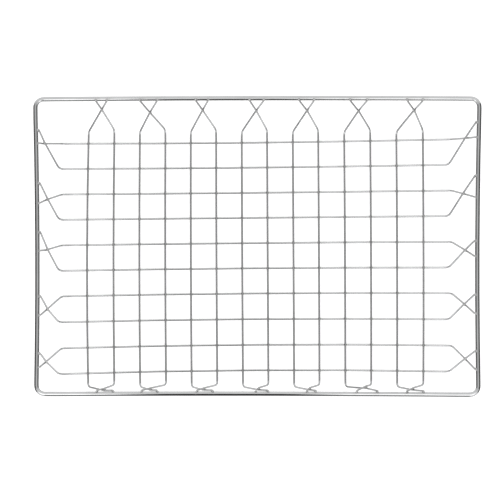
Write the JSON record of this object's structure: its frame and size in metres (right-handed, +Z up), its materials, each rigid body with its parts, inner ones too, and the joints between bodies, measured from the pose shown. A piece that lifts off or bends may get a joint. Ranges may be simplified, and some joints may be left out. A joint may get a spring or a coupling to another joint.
{
  "type": "bakery cooling rack",
  "caption": "Shallow open wire tray for cooling bread or pastry: a square mesh of thin welded steel wire hangs below a heavier rim rod, its wire ends rising and crossing in pairs",
  "frame": {"origin": "on the ground under the middle of the rack, at the bottom centre of its bounding box", "axes": "+X runs along the rack's long side, +Y across it towards its back side, +Z up out of the open tray"},
  "size_m": [0.6602, 0.4538, 0.0762],
  "materials": {
    "rim_chrome": "bright plated steel rod, lightly worn from handling",
    "wire_chrome": "bright plated drawn steel wire, satin at the welds"
  },
  "bodies": {
    "root": {"rim_rod": "rim_chrome", "long_wire_01": "wire_chrome", "long_wire_02": "wire_chrome", "long_wire_03": "wire_chrome", "long_wire_04": "wire_chrome", "long_wire_05": "wire_chrome", "long_wire_06": "wire_chrome", "long_wire_07": "wire_chrome", "long_wire_08": "wire_chrome", "long_wire_09": "wire_chrome", "long_wire_10": "wire_chrome", "cross_wire_01": "wire_chrome", "cross_wire_02": "wire_chrome", "cross_wire_03": "wire_chrome", "cross_wire_04": "wire_chrome", "cross_wire_05": "wire_chrome", "cross_wire_06": "wire_chrome", "cross_wire_07": "wire_chrome", "cross_wire_08": "wire_chrome", "cross_wire_09": "wire_chrome", "cross_wire_10": "wire_chrome", "cross_wire_11": "wire_chrome", "cross_wire_12": "wire_chrome", "cross_wire_13": "wire_chrome", "cross_wire_14": "wire_chrome"}
  },
  "joints": []
}
